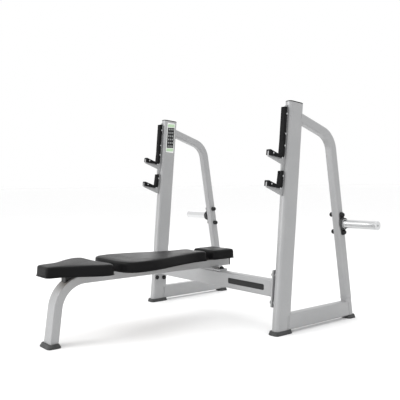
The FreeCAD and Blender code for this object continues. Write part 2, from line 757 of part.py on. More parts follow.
def build():
    nodes = {}
    nodes.update(paired("upright", upright()))
    nodes.update(paired("upright_cap", upright_cap()))
    nodes.update(paired("rear_tube", rear_tube()))
    nodes.update(paired("rear_post", rear_post()))
    nodes.update(paired("base_tube", base_tube()))
    front = Vector(STAND_X, upright_centre(FOOT_H / 2) - 2, 0)
    rear = Vector(STAND_X, REAR_Y0 + 2, 0)
    nodes.update(paired("front_foot", rubber_foot(front, 68, 126, 9, upright_bar())))
    nodes.update(paired("rear_foot", rubber_foot(rear, 68, 68, 9, post_bar())))
    nodes["bench_foot"] = rubber_foot(Vector(0, LEG_Y0 - 2, 0), 114, 72, 16, bench_bar())
    nodes.update(paired("hook_plate", hook_plate()))
    nodes.update(paired("bar_guard", guard()))
    nodes.update(paired("upper_liner", liner(CRADLE_Z, False)))
    nodes.update(paired("lower_liner", liner(CRADLE_Z - CRADLE_STEP, True)))
    nodes["liner_screws"] = liner_screws()
    nodes.update(paired("peg_plate", peg_plate()))
    nodes.update(paired("storage_peg", peg()))
    nodes.update(paired("peg_cap", peg_cap()))
    nodes["peg_tip_screws"] = Part.makeCompound(both_sides([peg_tip_screw()]))
    nodes.update(paired("peg_bumper", bumper()))
    nodes["peg_bolts"] = peg_through_bolts()
    nodes["peg_nuts"] = peg_nuts()
    nodes["peg_bolt_caps"] = peg_bolt_caps()
    nodes["cross_beam"] = cross_beam()
    nodes.update(paired("beam_end_plate", end_plate()))
    nodes["frame_bolts"] = frame_bolts()
    nodes["frame_bolt_caps"] = frame_bolt_caps()
    nodes["weld_nuts"] = weld_nuts()
    nodes["bench_frame"] = bench_frame()
    nodes["spine_end_cap"] = spine_end_cap()
    nodes["saddle_plate"] = saddle_plate()
    nodes["pad_supports"] = pad_supports()
    nodes["seat_bracket"] = seat_bracket()
    nodes["pad_screws"] = pad_screws()
    nodes["tee_nuts"] = tee_nuts()
    for name, side in (("seat", SEAT_SIDE), ("back", BACK_SIDE), ("head", HEAD_SIDE)):
        nodes[name + "_board"] = drilled_board(side)
        nodes[name + "_pad"] = pad(side)
    nodes["info_plate"] = info_plate()
    return nodes


os.makedirs("parts", exist_ok=True)
for name, shape in build().items():
    shape.exportStep("parts/" + name + ".step")
    print(name, len(shape.Solids), "solids", round(shape.Volume / 1000), "cm3", shape.isValid())
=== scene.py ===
"""Olympic bench press: finishes, upholstery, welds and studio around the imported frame. Metres."""

import json
import math

import bmesh
import bpy
from mathutils import Matrix, Vector


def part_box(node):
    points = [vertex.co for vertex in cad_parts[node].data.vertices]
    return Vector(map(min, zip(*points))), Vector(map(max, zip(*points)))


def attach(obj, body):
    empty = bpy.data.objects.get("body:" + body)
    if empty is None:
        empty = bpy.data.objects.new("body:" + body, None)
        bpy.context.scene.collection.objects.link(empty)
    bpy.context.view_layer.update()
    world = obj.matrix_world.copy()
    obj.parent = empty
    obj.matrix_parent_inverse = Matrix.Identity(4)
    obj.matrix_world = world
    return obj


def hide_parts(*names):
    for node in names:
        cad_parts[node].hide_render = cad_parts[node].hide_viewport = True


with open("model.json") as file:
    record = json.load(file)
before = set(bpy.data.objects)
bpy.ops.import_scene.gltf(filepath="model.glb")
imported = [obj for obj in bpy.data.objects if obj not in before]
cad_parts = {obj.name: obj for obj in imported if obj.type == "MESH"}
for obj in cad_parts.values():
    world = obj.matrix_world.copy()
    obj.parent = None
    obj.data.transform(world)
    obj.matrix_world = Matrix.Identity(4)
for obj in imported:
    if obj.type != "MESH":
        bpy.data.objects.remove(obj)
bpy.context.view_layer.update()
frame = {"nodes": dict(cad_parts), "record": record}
NODES = frame["nodes"]
ROOT = "root"
TAU = 2 * math.pi

# ---- frame geometry that the added pieces follow ----
UPRIGHT_LEAN = 0.0953            # backward lean of the uprights, dY per dZ
REAR_LEAN = -0.157               # forward lean of the rear tubes' lower run
REAR_HALF = 0.025                # half the side of the rear tube
TUBE_R = 0.010                   # corner radius of the base tube
BEAD_R = 0.0022                  # size of a weld bead
RIPPLE = 0.0030                  # spacing of the ripples along a bead

CAD_ROLL = 0.014                 # roll round the top edge of each CAD pad
ROLL = 0.010                     # the tighter roll of the sewn cover
PAD_SHRINK = 0.0025              # start size of a pad before it swells
VOXEL = 0.0055
PRESSURE = 4.0
SWELL_CAP = 0.0035
EVENING = 30                     # passes that spread the swelling evenly, so no wrinkle is left
WELT_R = 0.0021
STITCH = 0.0052                  # spacing of the stitches
HEM = 0.007                      # staples in from the edge of the underside
STAPLE_GAP = 0.032
STAPLE_HALF = 0.005
WIRE_R = 0.0005                  # thread and staple wire

# ---- printed sheets ----
FILM = 0.0003                    # thickness of a printed sheet
PLATE_MARGIN = 0.955             # printed length over the height of the instruction plate's box
PLATE_LEAN_SHARE = 0.73          # the plate's own width over the depth of its leaning box
BANDS = (("header", 0.42, 0.10, "green"), ("panel", 0.0, 0.70, "black"), ("footer", -0.42, 0.10, "green"))
CELL_ROWS = 6
CELL_TOP = 0.29                  # height of the top row of cells, over the printed length
CELL_STEP = 0.116
CELL_SPREAD = 0.27               # spacing of the columns, over the plate's width
STRIPE_SHARE = 0.27              # length of the beam's stripe, over the beam's
STRIPE_PLACE = 0.80              # its centre along the beam
STRIPE_TALL = 0.032

# ---- directions ----
X_DIR = Vector((1, 0, 0))
Y_DIR = Vector((0, 1, 0))
Z_DIR = Vector((0, 0, 1))
LEAN_DIR = Vector((0, UPRIGHT_LEAN, 1)).normalized()

# ---- studio ----
WORLD_STRENGTH = 1.08
FLOOR_REACH = 90.0
LIGHTS = {                       # place, aim, disk size and power of each lamp
    "key": ((-1.5, -4.5, 3.2), (0, 0, 0.5), 3.0, 120),
    "top": ((0.5, 0.0, 4.5), (0, 0, 0), 3.5, 50),
    "low_front": ((-0.8, -3.6, 0.35), (0.5, 0.6, 1.0), 1.6, 14),
    "pad_sheen": ((-3.2, 2.4, 0.95), (0, 0, 0.4), 1.5, 6),
}
CAMERA_PLACE = Vector((2.6396, -1.9607, 0.7980))
CAMERA_TURN = math.radians(51.290)
CAMERA_PITCH = math.radians(1.809)
CAMERA_ROLL = math.radians(-0.576)
CAMERA_LENS = 51.94


# ---- node helpers for materials ----
class Shader:
    """A Principled material whose detail is worked out from object coordinates, in metres."""

    def __init__(self, name, **sockets):
        self.material = bpy.data.materials.new(name)
        self.material.use_nodes = True
        self.tree = self.material.node_tree
        self.bsdf = self.tree.nodes["Principled BSDF"]
        self.coords = self.tree.nodes.new("ShaderNodeTexCoord").outputs["Object"]
        for socket, value in sockets.items():
            self.bsdf.inputs[socket.replace("_", " ")].default_value = value

    def node(self, kind, inputs=(), **settings):
        made = self.tree.nodes.new("ShaderNode" + kind)
        for key, value in settings.items():
            setattr(made, key, value)
        for socket, value in dict(inputs).items():
            if isinstance(value, bpy.types.NodeSocket):
                self.tree.links.new(value, made.inputs[socket])
            else:
                made.inputs[socket].default_value = value
        return made

    def noise(self, scale, detail=2.0, rough=0.5, stretch=(1, 1, 1)):
        place = self.coords
        if stretch != (1, 1, 1):
            place = self.node("Mapping", {"Vector": self.coords, "Scale": stretch}).outputs[0]
        made = self.node("TexNoise", {"Vector": place, "Scale": scale, "Detail": detail, "Roughness": rough})
        return made.outputs["Fac"]

    def cells(self, scale, feature="F1", smooth=False, stretch=(1, 1, 1)):
        place = self.node("Mapping", {"Vector": self.coords, "Scale": stretch}).outputs[0]
        kind = "SMOOTH_F1" if smooth else feature
        made = self.node("TexVoronoi", {"Vector": place, "Scale": scale}, feature=kind)
        return made.outputs["Distance"]

    def ramp(self, value, low, high, out_low=0.0, out_high=1.0):
        made = self.node("MapRange", {"Value": value, "From Min": low, "From Max": high,
                                      "To Min": out_low, "To Max": out_high})
        return made.outputs[0]

    def math(self, operation, first, second):
        return self.node("Math", {0: first, 1: second}, operation=operation).outputs[0]

    def blend(self, factor, first, second):
        made = self.tree.nodes.new("ShaderNodeMix")
        made.data_type = "RGBA"
        for socket, value in ((made.inputs[0], factor), (made.inputs[6], first), (made.inputs[7], second)):
            if isinstance(value, bpy.types.NodeSocket):
                self.tree.links.new(value, socket)
            else:
                socket.default_value = value
        return made.outputs[2]

    def bump(self, height, distance, strength=1.0, under=None):
        inputs = {"Height": height, "Distance": distance, "Strength": strength}
        if under is not None:
            inputs["Normal"] = under
        return self.node("Bump", inputs).outputs[0]

    def soft_edges(self, radius):
        return self.node("Bevel", {"Radius": radius}, samples=4).outputs[0]

    def edge_mask(self, radius, low=0.02, high=0.25):
        """One near sharp edges, where a rounded normal turns away from the face, and none elsewhere."""
        bevel = self.soft_edges(radius)
        true = self.node("NewGeometry").outputs["Normal"]
        dot = self.node("VectorMath", {0: bevel, 1: true}, operation="DOT_PRODUCT").outputs["Value"]
        return self.ramp(self.math("SUBTRACT", 1.0, dot), low, high)

    def facing_up(self, low=0.3, high=0.95):
        normal = self.node("NewGeometry").outputs["Normal"]
        split = self.node("SeparateXYZ", {0: normal})
        return self.ramp(split.outputs["Z"], low, high)

    def connect(self, **links):
        for socket, value in links.items():
            self.tree.links.new(value, self.bsdf.inputs[socket.replace("_", " ")])
        return self.material


def rgb(red, green, blue):
    return (red, green, blue, 1.0)


# ---- finishes ----
def frame_paint():
    """Silver metallic powder coat: fine flecks, orange peel and a little handling wear."""
    s = Shader("silver_powder_coat", Metallic=0.30, Coat_Weight=0.20, Coat_Roughness=0.32)
    flecks = s.ramp(s.noise(2600, 1.0), 0.56, 0.66)
    cloud = s.noise(7, 3.0)
    base = s.blend(s.ramp(cloud, 0.3, 0.7), rgb(0.305, 0.308, 0.312), rgb(0.332, 0.334, 0.337))
    base = s.blend(s.math("MULTIPLY", flecks, 0.55), base, rgb(0.50, 0.50, 0.51))
    scuffs = s.ramp(s.noise(45, 6.0, 0.75), 0.66, 0.74)
    base = s.blend(s.math("MULTIPLY", scuffs, 0.10), base, rgb(0.24, 0.24, 0.25))
    rough = s.ramp(s.noise(60, 4.0), 0.3, 0.7, 0.36, 0.48)
    peel = s.bump(s.noise(520, 2.0), 0.00045, 0.35, s.soft_edges(0.0012))
    return s.connect(Base_Color=base, Roughness=rough, Normal=peel)


def black_paint():
    """Satin black powder coat on the brackets."""
    s = Shader("satin_black_powder_coat", Specular_IOR_Level=0.25, Coat_Weight=0.05)
    flecks = s.ramp(s.noise(2200, 1.0), 0.60, 0.70)
    base = s.blend(s.math("MULTIPLY", flecks, 0.5), rgb(0.014, 0.0145, 0.015), rgb(0.06, 0.06, 0.062))
    worn = s.math("MULTIPLY", s.edge_mask(0.0009), s.ramp(s.noise(240, 4.0), 0.45, 0.6))
    base = s.blend(s.math("MULTIPLY", worn, 0.5), base, rgb(0.22, 0.22, 0.22))
    rough = s.ramp(s.noise(90, 3.0), 0.3, 0.7, 0.36, 0.50)
    peel = s.bump(s.noise(600, 2.0), 0.0005, 0.4, s.soft_edges(0.001))
    return s.connect(Base_Color=base, Roughness=rough, Normal=peel)


def black_plastic():
    """Tough moulded plastic of the liners and guards: matt, pebbled, rubbed pale where the bar lands."""
    s = Shader("liner_plastic", Specular_IOR_Level=0.09)
    pebble = s.cells(1400, smooth=True)
    rubbed = s.ramp(s.noise(160, 5.0, 0.7, (1.0, 3.5, 1.0)), 0.55, 0.68)
    base = s.blend(s.math("MULTIPLY", rubbed, 0.35), rgb(0.005, 0.005, 0.0055), rgb(0.024, 0.024, 0.025))
    base = s.blend(s.math("MULTIPLY", s.edge_mask(0.0012), 0.25), base, rgb(0.06, 0.06, 0.06))
    rough = s.ramp(s.noise(120, 4.0), 0.3, 0.7, 0.46, 0.62)
    grain = s.bump(pebble, 0.0004, 0.35, s.soft_edges(0.0015))
    return s.connect(Base_Color=base, Roughness=rough, Normal=grain)


def cap_plastic():
    """Glossier moulded caps and end plugs."""
    s = Shader("cap_plastic", Specular_IOR_Level=0.22, Coat_Weight=0.05, Coat_Roughness=0.12)
    base = s.blend(s.ramp(s.noise(80, 3.0), 0.35, 0.65), rgb(0.005, 0.005, 0.0055), rgb(0.010, 0.010, 0.0105))
    rough = s.ramp(s.noise(420, 3.0), 0.3, 0.7, 0.22, 0.36)
    grain = s.bump(s.noise(900, 2.0), 0.0003, 0.3, s.soft_edges(0.001))
    return s.connect(Base_Color=base, Roughness=rough, Normal=grain)


def black_rubber():
    """Moulded rubber, faintly dusty, with a pitted skin."""
    s = Shader("foot_rubber", Specular_IOR_Level=0.35)
    dust = s.math("MULTIPLY", s.facing_up(0.1, 0.9), s.ramp(s.noise(60, 6.0, 0.7), 0.40, 0.65))
    base = s.blend(s.ramp(s.noise(25, 3.0), 0.3, 0.7), rgb(0.030, 0.031, 0.032), rgb(0.050, 0.051, 0.052))
    base = s.blend(s.math("MULTIPLY", dust, 0.30), base, rgb(0.16, 0.155, 0.15))
    rough = s.ramp(s.noise(300, 3.0), 0.3, 0.7, 0.55, 0.75)
    pits = s.bump(s.noise(1300, 3.0), 0.0005, 0.45, s.soft_edges(0.0018))
    return s.connect(Base_Color=base, Roughness=rough, Normal=pits)


def peg_chrome():
    """Satin chrome turned round the X axis, with fine brushing and faint plate rub marks."""
    s = Shader("satin_chrome", Metallic=1.0)
    turned = s.noise(900, 2.0, 0.5, (1.0, 0.02, 0.02))
    rubs = s.ramp(s.noise(70, 5.0, 0.7, (3.0, 0.6, 0.6)), 0.60, 0.72)
    base = s.blend(s.math("MULTIPLY", rubs, 0.35), rgb(0.66, 0.665, 0.67), rgb(0.46, 0.46, 0.47))
    rough = s.math("ADD", s.ramp(turned, 0.3, 0.7, 0.14, 0.24), s.math("MULTIPLY", rubs, 0.12))
    lines = s.bump(turned, 0.00012, 0.4, s.soft_edges(0.001))
    return s.connect(Base_Color=base, Roughness=rough, Normal=lines)


def zinc_steel():
    """Bright zinc plating on bolts, nuts and screws."""
    s = Shader("zinc_plate", Metallic=0.95)
    spangle = s.cells(420)
    base = s.blend(s.ramp(spangle, 0.0, 0.6), rgb(0.60, 0.61, 0.62), rgb(0.44, 0.445, 0.45))
    rough = s.ramp(s.noise(500, 4.0), 0.3, 0.7, 0.24, 0.42)
    grain = s.bump(s.noise(1500, 2.0), 0.0002, 0.4, s.soft_edges(0.0006))
    return s.connect(Base_Color=base, Roughness=rough, Normal=grain)


def pad_vinyl():
    """Black upholstery vinyl: leather grain, polished where it is sat on."""
    s = Shader("black_vinyl", Specular_IOR_Level=0.09)
    grain_cells = s.cells(520, smooth=True, stretch=(1.0, 1.25, 1.0))
    creases = s.ramp(s.noise(260, 5.0, 0.6), 0.35, 0.75)
    tone = s.noise(5, 3.0)
    base = s.blend(s.ramp(tone, 0.3, 0.7), rgb(0.0035, 0.0035, 0.0038), rgb(0.006, 0.006, 0.0064))
    base = s.blend(s.ramp(grain_cells, 0.0, 0.45, 0.35, 0.0), base, rgb(0.012, 0.012, 0.0125))
    polish = s.ramp(s.noise(14, 3.0), 0.3, 0.7, 0.32, 0.40)
    rough = s.math("ADD", polish, s.ramp(creases, 0.0, 1.0, 0.0, 0.07))
    skin = s.bump(s.math("ADD", grain_cells, s.math("MULTIPLY", creases, 0.6)), 0.0006, 0.35)
    return s.connect(Base_Color=base, Roughness=rough, Normal=skin)


def thread():
    """Twisted black sewing thread."""
    s = Shader("sewing_thread", Specular_IOR_Level=0.15)
    twist = s.noise(2400, 1.0, 0.5, (1.0, 1.0, 0.3))
    base = s.blend(twist, rgb(0.012, 0.012, 0.013), rgb(0.030, 0.030, 0.032))
    rough = s.ramp(twist, 0.3, 0.7, 0.6, 0.8)
    return s.connect(Base_Color=base, Roughness=rough, Normal=s.bump(twist, 0.0003, 0.5))


def plywood():
    """Birch ply: long grain on the face, stacked veneers on the edge."""
    s = Shader("birch_plywood", Specular_IOR_Level=0.25)
    grain = s.noise(38, 6.0, 0.65, (6.0, 0.5, 1.0))
    veneers = s.node("TexWave", {"Vector": s.coords, "Scale": 110.0, "Distortion": 0.6},
                     bands_direction="Z").outputs["Fac"]
    normal = s.node("NewGeometry").outputs["Normal"]
    level = s.math("ABSOLUTE", s.node("SeparateXYZ", {0: normal}).outputs["Z"], 0.0)
    sides = s.math("SUBTRACT", 1.0, s.ramp(level, 0.3, 0.7))
    face = s.blend(s.ramp(grain, 0.3, 0.7), rgb(0.18, 0.12, 0.07), rgb(0.28, 0.20, 0.12))
    edge = s.blend(veneers, rgb(0.13, 0.08, 0.045), rgb(0.26, 0.185, 0.11))
    rough = s.ramp(grain, 0.3, 0.7, 0.62, 0.82)
    base = s.blend(sides, face, edge)
    return s.connect(Base_Color=base, Roughness=rough, Normal=s.bump(grain, 0.0006, 0.4))


def printed(name, low, high):
    """Satin printed plastic sheet in one ink."""
    s = Shader(name, Specular_IOR_Level=0.20, Coat_Weight=0.04, Coat_Roughness=0.25)
    ink = s.noise(900, 3.0)
    base = s.blend(s.ramp(ink, 0.35, 0.65), rgb(*low), rgb(*high))
    rough = s.ramp(s.noise(220, 3.0), 0.3, 0.7, 0.30, 0.44)
    return s.connect(Base_Color=base, Roughness=rough, Normal=s.bump(ink, 0.0001, 0.3))


FINISHES = {
    "frame_paint": frame_paint(),
    "black_paint": black_paint(),
    "black_plastic": black_plastic(),
    "cap_plastic": cap_plastic(),
    "black_rubber": black_rubber(),
    "peg_chrome": peg_chrome(),
    "zinc_steel": zinc_steel(),
    "pad_vinyl": pad_vinyl(),
    "plywood": plywood(),
    "label_print": printed("label_white", (0.70, 0.71, 0.70), (0.78, 0.79, 0.78)),
}
THREAD = thread()
INKS = {
    "black": printed("label_black", (0.010, 0.0105, 0.011), (0.018, 0.0185, 0.019)),
    "green": printed("label_green", (0.42, 0.58, 0.38), (0.48, 0.64, 0.44)),
    "white": FINISHES["label_print"],
    "grey": printed("label_grey", (0.24, 0.25, 0.25), (0.30, 0.31, 0.31)),
}


def paint_cad_nodes():
    for part in frame["record"]["subparts"]:
        node = NODES[part["node"]]
        finish = FINISHES[part["material_slot"]]
        if not node.material_slots:
            node.data.materials.append(finish)
        for held in node.material_slots:
            held.material = finish


# ---- mesh helpers ----
def mesh_piece(name, vertices, faces, material, smooth=True):
    mesh = bpy.data.meshes.new(name)
    mesh.from_pydata([tuple(v) for v in vertices], [], faces)
    mesh.materials.append(material)
    bm = bmesh.new()
    bm.from_mesh(mesh)
    bmesh.ops.recalc_face_normals(bm, faces=bm.faces)
    bm.to_mesh(mesh)
    bm.free()
    mesh.shade_smooth() if smooth else mesh.shade_flat()
    piece = bpy.data.objects.new(name, mesh)
    bpy.context.scene.collection.objects.link(piece)
    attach(piece, ROOT)
    return piece


def resampled(points, step, closed):
    """The same line with points at an even spacing."""
    line = points + points[:1] if closed else points
    lengths = [(b - a).length for a, b in zip(line, line[1:])]
    total = sum(lengths)
    count = max(4, round(total / step))
    wanted = [total * i / count for i in range(count if closed else count + 1)]
    result, run, segment = [], 0.0, 0
    for distance in wanted:
        while segment < len(lengths) - 1 and run + lengths[segment] < distance:
            run += lengths[segment]
            segment += 1
        part = (distance - run) / lengths[segment] if lengths[segment] else 0.0
        result.append(line[segment].lerp(line[segment + 1], min(max(part, 0.0), 1.0)))
    return result


def tube_mesh(points, radius_at, closed, sides=10):
    """Vertices and faces of a round bar along a line; radius_at(i) is its radius at point i."""
    count = len(points)
    vertices, faces = [], []
    side = None
    for i, point in enumerate(points):
        before = points[i - 1] if closed or i else point
        after = points[(i + 1) % count] if closed or i < count - 1 else point
        along = (after - before).normalized()
        if side is None:
            side = along.orthogonal().normalized()
        side = (side - along * side.dot(along)).normalized()
        up = along.cross(side)
        for k in range(sides):
            angle = TAU * k / sides
            vertices.append(point + (side * math.cos(angle) + up * math.sin(angle)) * radius_at(i))
    for i in range(count if closed else count - 1):
        for k in range(sides):
            a, b = i * sides + k, i * sides + (k + 1) % sides
            c = (i + 1) % count * sides
            faces.append((a, b, c + (k + 1) % sides, c + k))
    if not closed:
        faces.append(tuple(range(sides)))
        faces.append(tuple(range((count - 1) * sides, count * sides)))
    return vertices, faces


def rounded_loop(width, height, radius, arc_steps=6):
    """Points (u, v) round a rectangle with rounded corners, centred on zero."""
    loop = []
    for corner, (su, sv) in enumerate(((1, 1), (-1, 1), (-1, -1), (1, -1))):
        for step in range(arc_steps + 1):
            angle = (corner + step / arc_steps) * math.pi / 2
            loop.append((su * (width / 2 - radius) + radius * math.cos(angle),
                         sv * (height / 2 - radius) + radius * math.sin(angle)))
    return loop


# ---- welds ----
def weld_bead(name, points, closed=True, size=BEAD_R):
    """A rippled fillet weld along a joint, painted with the frame."""
    line = resampled(points, RIPPLE / 3, closed)

    def radius_at(i):
        ripple = 0.80 + 0.20 * abs(math.cos(math.pi * i / 3))
        wander = 1 + 0.06 * math.sin(i * 0.071) + 0.05 * math.sin(i * 0.193)
        return size * ripple * wander

    vertices, faces = tube_mesh(line, radius_at, closed, sides=8)
    return mesh_piece(name, vertices, faces, FINISHES["frame_paint"])


def box_loop(centre, across, along, width, length, radius=0.002):
    """A rounded rectangle in space, given its centre, its two directions and its two sizes."""
    return [centre + across * u + along * v for u, v in rounded_loop(width, length, radius)]


def base_welds(side):
    """Beads where the base tube meets the upright and the rear post."""
    low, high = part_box("base_tube_" + side)
    centre = (low + high) / 2
    for end, start_y, lean in (("front", low.y, UPRIGHT_LEAN), ("rear", high.y, REAR_LEAN)):
        anchor_z = high.z if end == "front" else low.z
        loop = [Vector((centre.x + u, start_y + (centre.z + v - anchor_z) * lean, centre.z + v))
                for u, v in rounded_loop(high.x - low.x, high.z - low.z, TUBE_R)]
        weld_bead(f"weld_base_{end}_{side}", loop)


def rear_weld(side):
    """Bead round the short post, where the rear tube stands on it."""
    low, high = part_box("rear_post_" + side)
    middle_y = low.y + REAR_HALF
    centre = Vector(((low.x + high.x) / 2, middle_y, high.z))
    weld_bead("weld_post_" + side, box_loop(centre, X_DIR, Y_DIR, high.x - low.x, 2 * REAR_HALF, 0.015))


def hook_welds(side):
    """Beads down both sides of the hook plate, where it stands on the upright."""
    low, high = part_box("hook_plate_" + side)
    bottom, top = low.z + 0.012, high.z - 0.012
    foot = high.y - (high.z - low.z) * UPRIGHT_LEAN
    for edge, x in (("outer", high.x), ("inner", low.x)):
        line = [Vector((x, foot + (z - low.z) * UPRIGHT_LEAN - 0.0008, z)) for z in (bottom, top)]
        weld_bead(f"weld_hook_{edge}_{side}", line, closed=False)


def beam_weld(side):
    """Bead round the end of the beam on its end plate."""
    low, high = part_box("cross_beam")
    centre = (low + high) / 2
    centre.x = high.x if side == "right" else low.x
    loop = box_loop(centre, Y_DIR, Z_DIR, high.y - low.y, high.z - low.z, 0.008)
    weld_bead("weld_beam_" + side, loop)


def support_welds():
    """Beads across the top of the spine, along both edges of each pad support."""
    low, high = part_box("bench_frame")
    for support, (centre_y, half) in enumerate(support_strips()):
        for edge, y in (("foot", centre_y - half), ("head", centre_y + half)):
            line = [Vector((low.x + 0.006, y, high.z)), Vector((high.x - 0.006, y, high.z))]
            weld_bead(f"weld_support_{support}_{edge}", line, closed=False, size=0.0018)


def support_strips():
    """(Y centre, half width) of each pad support that crosses the spine."""
    ys = sorted({round(v.co.y, 4) for v in NODES["pad_supports"].data.vertices})
    strips = []
    start = last = ys[0]
    for y in ys[1:] + [math.inf]:
        if y - last > 0.045:
            strips.append(((start + last) / 2, (last - start) / 2))
            start = y
        last = y
    return [strip for strip in strips if strip[1] > 0.01]


def build_welds():
    for side in ("right", "left"):
        base_welds(side)
        rear_weld(side)
        hook_welds(side)
        beam_weld(side)
    support_welds()


# ---- printed sheets ----
def sheet(name, centre, across, along, width, length, radius, thickness, ink):
    """A thin printed sheet with rounded corners and a softened rim, lying on a face."""
    out = across.cross(along).normalized()
    levels = ((0.0, 0.0), (0.0, thickness * 0.7), (thickness * 0.5, thickness))
    vertices, faces = [], []
    for inset, height in levels:
        loop = rounded_loop(width - 2 * inset, length - 2 * inset, radius)
        vertices += [centre + across * u + along * v + out * height for u, v in loop]
    count = len(vertices) // len(levels)
    for ring in range(len(levels) - 1):
        for i in range(count):
            a, b = ring * count + i, ring * count + (i + 1) % count
            faces.append((a, b, b + count, a + count))
    faces.append(tuple(range(count)))
    faces.append(tuple(range(count * (len(levels) - 1), count * len(levels))))
    return mesh_piece(name, vertices, faces, INKS[ink], smooth=False)


def build_info_plate():
    """Plain bands and a grid of blank cells on the instruction plate, with no lettering."""
    low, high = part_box("info_plate")
    centre = (low + high) / 2
    centre.x = high.x
    length = (high.z - low.z) * PLATE_MARGIN
    width = (high.y - low.y) * PLATE_LEAN_SHARE
    for band, up, tall, ink in BANDS:
        place = centre + LEAN_DIR * (length * up)
        sheet("info_" + band, place, Y_DIR, LEAN_DIR, width * 0.94, length * tall, 0.002, FILM, ink)
    for row in range(CELL_ROWS):
        for column in (-1, 0, 1):
            place = centre + LEAN_DIR * (length * (CELL_TOP - CELL_STEP * row))
            place += Y_DIR * (column * width * CELL_SPREAD) + X_DIR * FILM
            sheet(f"info_cell_{row}_{column + 1}", place, Y_DIR, LEAN_DIR, width * 0.15, length * 0.055,
                  0.001, 0.0002, "grey")


def build_beam_stripe():
    """A plain dark stripe on the front of the beam."""
    low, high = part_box("cross_beam")
    reach = high.x - low.x
    centre = Vector((low.x + reach * STRIPE_PLACE, low.y, (low.z + high.z) / 2))
    sheet("beam_stripe", centre, X_DIR, Z_DIR, reach * STRIPE_SHARE, STRIPE_TALL, 0.008, FILM, "black")


# ---- upholstery ----
def side_outline(node):
    """The outer outline of a CAD pad, taken where its side meets the top roll."""
    low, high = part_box(node)
    level = high.z - CAD_ROLL
    centre = (low + high) / 2
    ring = {}
    for vertex in NODES[node].data.vertices:
        if abs(vertex.co.z - level) < 0.0004:
            ring[(round(vertex.co.x, 4), round(vertex.co.y, 4))] = vertex.co.copy()
    points = sorted(ring.values(), key=lambda p: math.atan2(p.y - centre.y, p.x - centre.x))
    flat = [Vector((p.x, p.y, 0)) for p in points]
    return resampled(flat, 0.006, closed=True)


def inset_loop(outline, distance):
    """The outline moved inwards by the distance, along its own normals."""
    count = len(outline)
    moved = []
    for i, point in enumerate(outline):
        along = (outline[(i + 1) % count] - outline[i - 1]).normalized()
        inward = Vector((-along.y, along.x, 0))
        moved.append(point + inward * distance)
    return moved


def foam_profile(thickness):
    """(inset, height) pairs up the side of a pad and over its top edge."""
    pairs = [(0.004, 0.0), (0.0012, 0.0022), (0.0, 0.006), (0.0, thickness - ROLL)]
    for step in range(1, 6):
        angle = step / 5 * math.pi / 2
        pairs.append((ROLL * (1 - math.cos(angle)), thickness - ROLL * (1 - math.sin(angle))))
    return pairs


def foam_block(name, node):
    """A closed block on the pad's outline, a little smaller than it will be once it swells."""
    low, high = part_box(node)
    outline = side_outline(node)
    thickness = high.z - low.z - PAD_SHRINK
    vertices, faces = [], []
    rings = foam_profile(thickness)
    count = len(outline)
    for inset, height in rings:
        for point in inset_loop(outline, inset + PAD_SHRINK):
            vertices.append(Vector((point.x, point.y, low.z + height)))
    for ring in range(len(rings) - 1):
        for i in range(count):
            a, b = ring * count + i, ring * count + (i + 1) % count
            faces.append((a, b, b + count, a + count))
    faces.append(tuple(range(count)))
    faces.append(tuple(range((len(rings) - 1) * count, len(rings) * count)))
    return mesh_piece(name, vertices, faces, FINISHES["pad_vinyl"])


def activate(piece):
    bpy.ops.object.select_all(action="DESELECT")
    bpy.context.view_layer.objects.active = piece
    piece.select_set(True)


def apply_modifiers(piece):
    activate(piece)
    for modifier in list(piece.modifiers):
        bpy.ops.object.modifier_apply(modifier=modifier.name)


def remesh(piece, voxel):
    modifier = piece.modifiers.new("remesh", "REMESH")
    modifier.mode = "VOXEL"
    modifier.voxel_size = voxel
    modifier.use_smooth_shade = True
    apply_modifiers(piece)


def evened(piece, steps):
    """The steps of the vertices, each averaged again and again with its neighbours'."""
    edges = [tuple(edge.vertices) for edge in piece.data.edges]
    for _ in range(EVENING):
        total = [step.copy() for step in steps]
        count = [1] * len(steps)
        for a, b in edges:
            total[a] += steps[b]
            total[b] += steps[a]
            count[a] += 1
            count[b] += 1
        steps = [whole / number for whole, number in zip(total, count)]
    return steps


def swell(piece, pressure):
    """Inflate the cover over its foam with the cloth solver, the underside held to its board."""
    floor_z = min(v.co.z for v in piece.data.vertices)
    held = piece.vertex_groups.new(name="held")
    held.add([v.index for v in piece.data.vertices if v.co.z < floor_z + 0.004], 1.0, "REPLACE")
    before = [v.co.copy() for v in piece.data.vertices]
    cloth = piece.modifiers.new("cloth", "CLOTH")
    settings = cloth.settings
    settings.quality = 6
    settings.mass = 0.4
    settings.tension_stiffness = 25
    settings.compression_stiffness = 20
    settings.bending_stiffness = 4
    settings.use_pressure = True
    settings.uniform_pressure_force = pressure
    settings.effector_weights.gravity = 0
    settings.vertex_group_mass = "held"
    cloth.point_cache.frame_start = 1
    cloth.point_cache.frame_end = 20
    for step in range(1, 21):
        bpy.context.scene.frame_set(step)
    posed = piece.evaluated_get(bpy.context.evaluated_depsgraph_get())
    after = [v.co.copy() for v in posed.data.vertices]
    piece.modifiers.clear()
    steps = evened(piece, [new - old for old, new in zip(before, after)])
    for vertex, old, step in zip(piece.data.vertices, before, steps):
        if step.length > SWELL_CAP:
            step *= SWELL_CAP / step.length
        vertex.co = old + step
    bpy.context.scene.frame_set(1)


def settle(piece, low_z):
    """Rest the underside flat on its board."""
    for vertex in piece.data.vertices:
        vertex.co.z = max(vertex.co.z, low_z)


def smooth_over(piece, levels):
    modifier = piece.modifiers.new("subdivide", "SUBSURF")
    modifier.levels = levels
    modifier.render_levels = levels
    apply_modifiers(piece)


def pad_line(node, inset, level):
    """The outline of a pad, drawn in by the inset, at a height above its underside."""
    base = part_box(node)[0].z
    return [Vector((p.x, p.y, base + level)) for p in inset_loop(side_outline(node), inset)]


